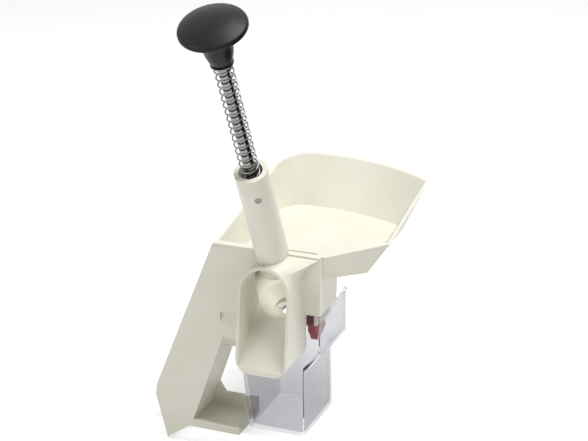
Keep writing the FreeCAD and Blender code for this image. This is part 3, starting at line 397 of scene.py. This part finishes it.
ivory = plastic_finish(
    "ivory_plastic",
    (0.77, 0.755, 0.655),
    (0.745, 0.725, 0.615),
    roughness=0.30,
    spread=0.12,
    grain=0.0008,
    bump=0.25,
    IOR=1.5,
)
black = plastic_finish(
    "black_plastic",
    (0.012, 0.013, 0.016),
    (0.008, 0.009, 0.010),
    roughness=0.27,
    spread=0.14,
    grain=0.0005,
    bump=0.35,
    IOR=1.5,
    Specular_IOR_Level=0.2,
)
red = plastic_finish(
    "red_plastic",
    (0.42, 0.018, 0.03),
    (0.34, 0.012, 0.02),
    roughness=0.3,
    spread=0.1,
    grain=0.0006,
    bump=0.25,
    IOR=1.5,
)
white = plastic_finish(
    "white_plastic",
    (0.80, 0.79, 0.76),
    (0.76, 0.75, 0.71),
    roughness=0.4,
    spread=0.1,
    grain=0.0005,
    bump=0.25,
    IOR=1.5,
)
silicone = plastic_finish(
    "silicone",
    (0.72, 0.70, 0.64),
    (0.66, 0.64, 0.57),
    roughness=0.5,
    spread=0.15,
    grain=0.0004,
    bump=0.3,
    IOR=1.41,
)
rubber = plastic_finish(
    "bumper_rubber",
    (0.035, 0.035, 0.036),
    (0.022, 0.022, 0.023),
    roughness=0.7,
    spread=0.15,
    grain=0.0003,
    bump=0.5,
    IOR=1.5,
)
print("plastics: ivory, black, red, white, silicone, rubber")

# %% [markdown]
# ## Clear plastic
# The container is thin, clear and hard. Seen straight on its walls nearly vanish, and at a slant
# they look grey, because there the light goes a long way through the plastic. With the full
# refraction of plastic the thin walls trap the light and turn black, so the shader bends it only
# a little, and the grey at a slant is painted shade: Layer Weight mixes a grey into the base colour
# where a wall is seen at a slant. A clear coat gives the reflections of real plastic. The roughness
# gets the pattern of rubbed patches.

# %% Clear finish
CLEAR_FACE_ON = (0.83, 0.83, 0.85, 1)
# The grey for walls seen at a slant is painted shade in the base colour.
CLEAR_SLANT_PAINTED_SHADE = (0.24, 0.24, 0.27, 1)
CLEAR_ROUGHNESS = 0.02
RUBBED_ROUGHNESS = 0.05
SCRATCHED_ROUGHNESS = 0.15


def clear_finish():
    """A thin clear moulding: painted grey shade at a slant, glossy, a little rubbed."""
    finish, tree, shader = start_finish(
        "clear_plastic",
        IOR=1.06,
        Transmission_Weight=1.0,
        Coat_Weight=0.6,
        Coat_IOR=1.45,
        Coat_Roughness=0.03,
    )
    # Painted shade: Layer Weight mixes a grey into the base colour where a wall is seen at a slant.
    slant = add_node(tree, "ShaderNodeLayerWeight", {"Blend": 0.35}).outputs["Facing"]
    mixed_base_colour = add_node(
        tree,
        "ShaderNodeMix",
        {"Factor": slant, "A": CLEAR_FACE_ON, "B": CLEAR_SLANT_PAINTED_SHADE},
        data_type="RGBA",
    )
    tree.links.new(mixed_base_colour.outputs["Result"], shader.inputs["Base Color"])
    marks = use_effect(tree, handling_marks, Patch_Size=0.03, Scratch_Size=0.0008, Turn=0.9)
    rubbed = multiply_add(tree, marks.outputs["Mask"], RUBBED_ROUGHNESS, CLEAR_ROUGHNESS)
    scratched = multiply_add(tree, marks.outputs["Scratches"], SCRATCHED_ROUGHNESS, rubbed)
    tree.links.new(scratched, shader.inputs["Roughness"])
    return finish


clear = clear_finish()
print("clear plastic ready")

# %% [markdown]
# ## Metals
# The rod is chromed and polished, the spring is bare drawn wire, the small washers and screws are
# zinc plated, and the knob holds a turned brass insert. The fine lines of the drawn group change
# the roughness and the relief, and its slow smears the colour. All but the brass are set darker
# than the real metals, because that gives the tone of the picture in this white surround.

# %% Metal finishes
METAL_RELIEF = 0.00002


def metal_finish(name, colour, deep, roughness, spread, line, bump):
    """A drawn or turned metal: fine lines, slow smears."""
    finish, tree, shader = start_finish(name, Metallic=1.0)
    drawn = use_effect(tree, drawn_lines, Line_Size=line)
    mixed_base_colour = add_node(
        tree,
        "ShaderNodeMix",
        {"Factor": drawn.outputs["Smears"], "A": (*colour, 1), "B": (*deep, 1)},
        data_type="RGBA",
    )
    rough = multiply_add(tree, drawn.outputs["Lines"], spread, roughness)
    relief = add_node(
        tree,
        "ShaderNodeBump",
        {"Strength": bump, "Distance": METAL_RELIEF, "Height": drawn.outputs["Lines"]},
    )
    tree.links.new(mixed_base_colour.outputs["Result"], shader.inputs["Base Color"])
    tree.links.new(rough, shader.inputs["Roughness"])
    tree.links.new(relief.outputs["Normal"], shader.inputs["Normal"])
    return finish


chrome = metal_finish(
    "chromed_steel",
    (0.29, 0.29, 0.285),
    (0.21, 0.21, 0.21),
    roughness=0.08,
    spread=0.12,
    line=0.0004,
    bump=0.15,
)
wire = metal_finish(
    "spring_steel",
    (0.30, 0.30, 0.29),
    (0.16, 0.16, 0.16),
    roughness=0.14,
    spread=0.2,
    line=0.0002,
    bump=0.3,
)
zinc = metal_finish(
    "zinc_steel",
    (0.26, 0.255, 0.23),
    (0.20, 0.20, 0.18),
    roughness=0.28,
    spread=0.2,
    line=0.0003,
    bump=0.3,
)
brass = metal_finish(
    "brass",
    (0.74, 0.54, 0.25),
    (0.62, 0.44, 0.18),
    roughness=0.22,
    spread=0.2,
    line=0.0003,
    bump=0.3,
)
print("metals: chrome, wire, zinc, brass")

# %% [markdown]
# ## A finish for every node
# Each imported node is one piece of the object, so one table of names and finishes dresses them
# all. Nodes that a later cell replaces are in it too, which keeps the table whole. A finish goes
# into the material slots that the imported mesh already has. The mesh itself stays as it is.

# %% Give the carried-over nodes their finishes
NODE_FINISHES = {
    "front_stand": ivory,
    "chute_housing": ivory,
    "hopper_tray": ivory,
    "guide_tube": ivory,
    "pit_container": clear,
    "upper_bush": white,
    "lower_bush": white,
    "bush_pin": zinc,
    "lower_spring_washer": zinc,
    "upper_spring_washer": zinc,
    "return_spring": wire,
    "plunger_rod": chrome,
    "pitting_tip": chrome,
    "rest_clip": wire,
    "bumper_ring": rubber,
    "knob": black,
    "knob_insert": brass,
    "pit_die": silicone,
    "die_holder": red,
    "tray_screws": zinc,
    "stand_screws": zinc,
}
for node, finish in NODE_FINISHES.items():
    for slot in nodes[node].material_slots:
        slot.material = finish
print("finished nodes:", len(NODE_FINISHES))

# %% [markdown]
# ## From a mesh to a piece
# A mesh made here has to say which body it rides on, which material slot it wears and which
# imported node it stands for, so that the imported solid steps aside. One function says all of that,
# and every piece below goes through it.

# %% Show a finished mesh


def show_piece(name, mesh, body, finish, node=None):
    """A finished mesh as a piece of the object: its finish, its body and the node it stands for."""
    mesh.materials.clear()
    mesh.materials.append(finish)
    piece = bpy.data.objects.new(name, mesh)
    scene.collection.objects.link(piece)
    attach(piece, body)
    if node:
        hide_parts(node)
    return piece


print("show_piece ready")

# %% [markdown]
# ## Rounded mouldings
# No moulded edge is sharp: the mould gives each one a small radius, and that radius is what
# catches the light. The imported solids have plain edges, so each large moulding gets a copy whose
# loose triangles are merged, whose flat areas are joined again, and whose sharp edges a Bevel
# modifier rounds. The copy then stands for its node. Baking a radius into the shading would be
# quicker, but it wouldn't show in the outline. A joined face that goes round a corner or a hole
# can fold when it is cut into triangles, so the housing's faces are split until each is convex.
# Normals weighted by area keep the large faces evenly lit beside the rounded edges. The
# modifier's clamp follows the shortest edge of a mesh. On the holder and the container the radius
# comes out nearly as asked, and on the other four, which have very short edges, it stays under a
# tenth of a millimetre.

# %% Rounded copies
SHARP = math.radians(28)
FLAT = math.radians(0.4)
MERGE = 0.000008
ROUNDING_STEPS = 3


def rounded_copy(node, body, finish, radius, convex=False, flat_sided=True):
    """A merged copy with rounded edges; convex splits its faces, flat_sided evens them."""
    shape = bmesh.new()
    shape.from_mesh(nodes[node].data)
    bmesh.ops.remove_doubles(shape, verts=shape.verts, dist=MERGE)
    bmesh.ops.dissolve_degenerate(shape, edges=shape.edges, dist=MERGE)
    bmesh.ops.dissolve_limit(
        shape, angle_limit=FLAT, verts=shape.verts, edges=shape.edges, use_dissolve_boundaries=False
    )
    if convex:
        bmesh.ops.connect_verts_concave(shape, faces=shape.faces)
    bmesh.ops.recalc_face_normals(shape, faces=shape.faces)
    for face in shape.faces:
        face.smooth = True
    for edge in shape.edges:
        edge.smooth = edge.calc_face_angle(0) < SHARP
    mesh = bpy.data.meshes.new(node + "_rounded")
    shape.to_mesh(mesh)
    shape.free()
    piece = show_piece(node + "_rounded", mesh, body, finish, node)
    bevel = piece.modifiers.new("edge_radius", "BEVEL")
    bevel.width = radius
    bevel.segments = ROUNDING_STEPS
    bevel.limit_method = "ANGLE"
    bevel.angle_limit = SHARP
    bevel.use_clamp_overlap = True
    bevel.harden_normals = True
    bevel.miter_outer = "MITER_ARC"
    if flat_sided:
        even = piece.modifiers.new("even_shading", "WEIGHTED_NORMAL")
        even.mode = "FACE_AREA_WITH_ANGLE"
        even.keep_sharp = True
    print(f"{piece.name}: {len(mesh.polygons)} faces before rounding")


rounded_copy("front_stand", "stand", ivory, 0.0006)
rounded_copy("chute_housing", "stand", ivory, 0.0005, convex=True)
rounded_copy("hopper_tray", "stand", ivory, 0.0005)
rounded_copy("guide_tube", "stand", ivory, 0.0006, flat_sided=False)
rounded_copy("die_holder", "stand", red, 0.0004)
rounded_copy("pit_container", "container", clear, 0.0005)

# %% [markdown]
# ## The knob
# The knob is one turned shape: a slim neck that flares into a wide cap with a soft rim and a low
# dome. A turned shape is best made as a turned shape: its half outline is drawn once and spun
# about the plunger's axis. Curves in the outline come from rounding its corners before the spin.
# From the top of the dome the outline goes on inside, down the axis and round the socket of the
# insert. It stops short of the neck's underside, so the bore that the rod fills has no wall. The
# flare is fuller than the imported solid's.

# %% Turned pieces
MM_PER_METRE = 1000
CORNER_STEPS = 8
STEPS_AROUND = 96


def turned_mesh(name, outline, corners):
    """Spin a half outline of (radius, height) in mm; corners maps a point to its radius."""
    shape = bmesh.new()
    line = [
        shape.verts.new((radius / MM_PER_METRE, 0, height / MM_PER_METRE))
        for radius, height in outline
    ]
    for pair in zip(line, line[1:]):
        shape.edges.new(pair)
    for number, radius in corners.items():
        bmesh.ops.bevel(
            shape,
            geom=[line[number]],
            offset=radius / MM_PER_METRE,
            offset_type="OFFSET",
            segments=CORNER_STEPS,
            profile=0.5,
            affect="VERTICES",
            material=-1,
            clamp_overlap=True,
        )
    bmesh.ops.spin(
        shape,
        geom=shape.edges[:],
        cent=(0, 0, 0),
        axis=(0, 0, 1),
        angle=2 * math.pi,
        steps=STEPS_AROUND,
        use_merge=True,
    )
    bmesh.ops.remove_doubles(shape, verts=shape.verts, dist=MERGE)
    bmesh.ops.recalc_face_normals(shape, faces=shape.faces)
    for face in shape.faces:
        face.smooth = True
    bmesh.ops.transform(shape, matrix=PLUNGER_PLACE, verts=shape.verts)
    mesh = bpy.data.meshes.new(name)
    shape.to_mesh(mesh)
    shape.free()
    return mesh


print("turned_mesh ready")

# %% Turn the knob
KNOB_OUTLINE = [
    (3.60, 198.45),
    (5.80, 198.45),
    (6.90, 200.6),
    (8.30, 205.6),
    (9.10, 212.0),
    (11.2, 219.6),
    (17.2, 221.6),
    (17.6, 221.2),
    (19.8, 221.2),
    (19.8, 224.0),
    (14.0, 226.6),
    (7.0, 228.3),
    (0.0, 228.8),
    (0.0, 215.1),
    (4.65, 215.1),
    (4.65, 203.1),
    (3.60, 203.1),
]
KNOB_CORNERS = {1: 0.5, 2: 2.0, 3: 2.0, 4: 2.5, 5: 3.0, 8: 1.0, 9: 1.3, 10: 3.5, 11: 3.5}
knob_mesh = turned_mesh("knob_cap", KNOB_OUTLINE, KNOB_CORNERS)
show_piece("knob_cap", knob_mesh, "plunger", black, "knob")
print("knob faces:", len(knob_mesh.polygons))

# %% [markdown]
# ## The return spring
# A spring is wire wound on a mandrel, so it is made in the same way: a small circle of wire is
# spun round the axis while it also moves along it. The two end turns lie closer together than the
# rest. Sizes are in millimetres.

# %% Wind the spring
SPRING_FOOT = 106.7
SPRING_LENGTH = 90.94
WIRE = 1.0
COIL_RADIUS = 5.35
TURNS = 19
END_PITCH = 1.6
END_GAP = 0.05
WIRE_SIDES = 14
STEPS_PER_TURN = 40
SPRING_ROOM = SPRING_LENGTH - WIRE - 2 * END_GAP
MIDDLE_PITCH = (SPRING_ROOM - 2 * END_PITCH) / (TURNS - 2)


def wound_spring():
    """A circle of wire wound turn by turn, each turn with its own pitch."""
    shape = bmesh.new()
    first_height = (SPRING_FOOT + WIRE / 2 + END_GAP) / MM_PER_METRE
    start = Matrix.Translation((COIL_RADIUS / MM_PER_METRE, 0, first_height))
    ring = bmesh.ops.create_circle(
        shape,
        segments=WIRE_SIDES,
        radius=WIRE / 2 / MM_PER_METRE,
        matrix=start @ Matrix.Rotation(math.pi / 2, 4, "X"),
    )["verts"]
    front = list({edge for vert in ring for edge in vert.link_edges})
    first_ring = list(front)
    for turn in range(TURNS):
        pitch = END_PITCH if turn in (0, TURNS - 1) else MIDDLE_PITCH
        wound = bmesh.ops.spin(
            shape,
            geom=front,
            cent=(0, 0, 0),
            axis=(0, 0, 1),
            dvec=(0, 0, pitch / MM_PER_METRE / STEPS_PER_TURN),
            angle=2 * math.pi,
            steps=STEPS_PER_TURN,
            use_merge=False,
        )
        front = [item for item in wound["geom_last"] if isinstance(item, bmesh.types.BMEdge)]
    bmesh.ops.contextual_create(shape, geom=first_ring)
    bmesh.ops.contextual_create(shape, geom=front)
    bmesh.ops.remove_doubles(shape, verts=shape.verts, dist=MERGE)
    bmesh.ops.recalc_face_normals(shape, faces=shape.faces)
    for face in shape.faces:
        face.smooth = len(face.verts) == 4
    bmesh.ops.transform(shape, matrix=PLUNGER_PLACE, verts=shape.verts)
    mesh = bpy.data.meshes.new("wound_spring")
    shape.to_mesh(mesh)
    shape.free()
    return mesh


spring_mesh = wound_spring()
spring = show_piece("wound_spring", spring_mesh, "stand", wire, "return_spring")
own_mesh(spring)
print("spring faces:", len(spring_mesh.polygons))

# %% [markdown]
# ## The table
# The picture is cut out on white. A pale table with its front edge under the foot carries the
# piece, so that the stop tab can hang in front of the edge. Part of its white is a glow that only
# the camera, mirrors and clear plastic see. It adds no soft light to the piece and leaves the
# shadow be.

# %% The table's shape
TABLE_EDGE_Y = -0.0125
DROP = 0.0125
TABLE_REACH = 3.0


def table_mesh():
    """The table's top, its front edge and the level in front of it."""
    shape = bmesh.new()
    line = [
        shape.verts.new((0, TABLE_REACH, 0)),
        shape.verts.new((0, TABLE_EDGE_Y, 0)),
        shape.verts.new((0, TABLE_EDGE_Y, -DROP)),
        shape.verts.new((0, -TABLE_REACH, -DROP)),
    ]
    runs = [shape.edges.new(pair) for pair in zip(line, line[1:])]
    moved = bmesh.ops.extrude_edge_only(shape, edges=runs)["geom"]
    far = [item for item in moved if isinstance(item, bmesh.types.BMVert)]
    bmesh.ops.translate(shape, verts=far, vec=(TABLE_REACH, 0, 0))
    bmesh.ops.translate(shape, verts=line, vec=(-TABLE_REACH, 0, 0))
    bmesh.ops.recalc_face_normals(shape, faces=shape.faces)
    if shape.faces[0].normal.z < 0:
        bmesh.ops.reverse_faces(shape, faces=shape.faces)
    mesh = bpy.data.meshes.new("table")
    shape.to_mesh(mesh)
    shape.free()
    return mesh


table = bpy.data.objects.new("table", table_mesh())
scene.collection.objects.link(table)
print("table faces:", len(table.data.polygons))

# %% The table's finish
TABLE_GLOW = 0.5


def seen_as_white(tree):
    """1 for rays from the camera, a mirror or clear plastic, 0 for the rays that light things."""
    rays = add_node(tree, "ShaderNodeLightPath")
    seen = add_node(
        tree,
        "ShaderNodeMath",
        {0: rays.outputs["Is Camera Ray"], 1: rays.outputs["Is Transmission Ray"]},
        operation="MAXIMUM",
    )
    mirrored = add_node(
        tree,
        "ShaderNodeMath",
        {0: seen.outputs[0], 1: rays.outputs["Is Glossy Ray"]},
        operation="MAXIMUM",
    )
    return mirrored.outputs[0]


def table_finish():
    """A pale matt top that the camera sees near white, with the piece's own soft shadow."""
    finish, tree, shader = start_finish("table_top", Roughness=0.9, Specular_IOR_Level=0.1)
    tone = use_effect(
        tree,
        moulded_grain,
        Colour=(0.86, 0.86, 0.86, 1),
        Deep_Colour=(0.85, 0.85, 0.85, 1),
        Grain_Size=0.002,
        Tone_Size=0.2,
        Roughness=0.85,
    )
    glow = add_node(
        tree, "ShaderNodeMath", {0: seen_as_white(tree), 1: TABLE_GLOW}, operation="MULTIPLY"
    )
    tree.links.new(tone.outputs["Colour"], shader.inputs["Base Color"])
    tree.links.new(tone.outputs["Roughness"], shader.inputs["Roughness"])
    shader.inputs["Emission Color"].default_value = (1, 1, 1, 1)
    tree.links.new(glow.outputs[0], shader.inputs["Emission Strength"])
    return finish


table.data.materials.append(table_finish())
print("table finish ready")

# %% [markdown]
# ## The white surround
# The world is a plain white that only the camera, mirrors and clear plastic see at full strength.
# As a light it is much weaker, an even fill that leaves the modelling of the forms to the lamps.

# %% World
WORLD_FILL = 0.29
world = bpy.data.worlds.new("studio")
scene.world = world
world.use_nodes = True
sky = world.node_tree
background = sky.nodes["Background"]
background.inputs["Color"].default_value = (1, 1, 1, 1)
level = add_node(
    sky,
    "ShaderNodeMapRange",
    {"Value": seen_as_white(sky), "To Min": WORLD_FILL, "To Max": 1.0},
)
sky.links.new(level.outputs["Result"], background.inputs["Strength"])
scene.view_settings.view_transform = "Standard"
print("world fill:", WORLD_FILL)

# %% [markdown]
# ## Lamps
# Three soft lamps light the piece: a strong one above and to the right, a weaker one at the front
# left that opens the shadows, and a faint one at the right. A large lamp near a piece gives its
# shadows soft edges, so they are square area lamps. At their plain level the ivory renders about
# as written.

# %% Lamps


def soft_lamp(name, spot, aim, size, watts):
    """A square lamp that looks at a point."""
    lamp = bpy.data.lights.new(name, "AREA")
    lamp.shape = "SQUARE"
    lamp.size = size
    lamp.energy = watts
    holder = bpy.data.objects.new(name, lamp)
    scene.collection.objects.link(holder)
    direction = Vector(aim) - Vector(spot)
    holder.matrix_world = (
        Matrix.Translation(Vector(spot)) @ direction.to_track_quat("-Z", "Y").to_matrix().to_4x4()
    )


MIDDLE = (0.04, 0.0, 0.12)
soft_lamp("top_lamp", (0.43, 0.02, 1.27), MIDDLE, 0.7, 14.7)
soft_lamp("front_lamp", (-0.7, -1.05, 0.7), MIDDLE, 0.7, 4.0)
soft_lamp("right_lamp", (1.2, -0.7, 0.45), MIDDLE, 0.6, 1.4)
print("lamps: 3")

# %% [markdown]
# ## Dark cards
# Polished metal only looks like metal when it has something dark to mirror. A photographer lays
# or hangs black cards beside the piece. A rod that leans towards the camera mirrors what lies
# below it, so one card lies on the table at the right, and one stands further away for the knob.
# Only mirrored rays see them, so they cast no shadow and stay out of the picture.

# %% Cards for the metal
card_finish, _, _ = start_finish(
    "black_card", Base_Color=(0.02, 0.02, 0.02, 1), Roughness=1.0, Specular_IOR_Level=0.0
)


def dark_card(name, width, depth, place):
    """A black card that only mirrored rays see; place puts a level card where it belongs."""
    shape = bmesh.new()
    bmesh.ops.create_grid(shape, x_segments=1, y_segments=1, size=0.5)
    bmesh.ops.scale(shape, verts=shape.verts, vec=(width, depth, 1))
    bmesh.ops.transform(shape, matrix=place, verts=shape.verts)
    mesh = bpy.data.meshes.new(name)
    shape.to_mesh(mesh)
    shape.free()
    mesh.materials.append(card_finish)
    card = bpy.data.objects.new(name, mesh)
    scene.collection.objects.link(card)
    card.visible_camera = False
    card.visible_diffuse = False
    card.visible_transmission = False
    card.visible_volume_scatter = False
    card.visible_shadow = False


dark_card("lying_card", 0.45, 0.5, Matrix.Translation((0.40, 0.20, 0.002)))
upright = Matrix.Rotation(math.radians(90), 4, "Y")
dark_card("standing_card", 1.2, 1.6, Matrix.Translation((0.65, 0.2, 0.3)) @ upright)
print("cards: 2")
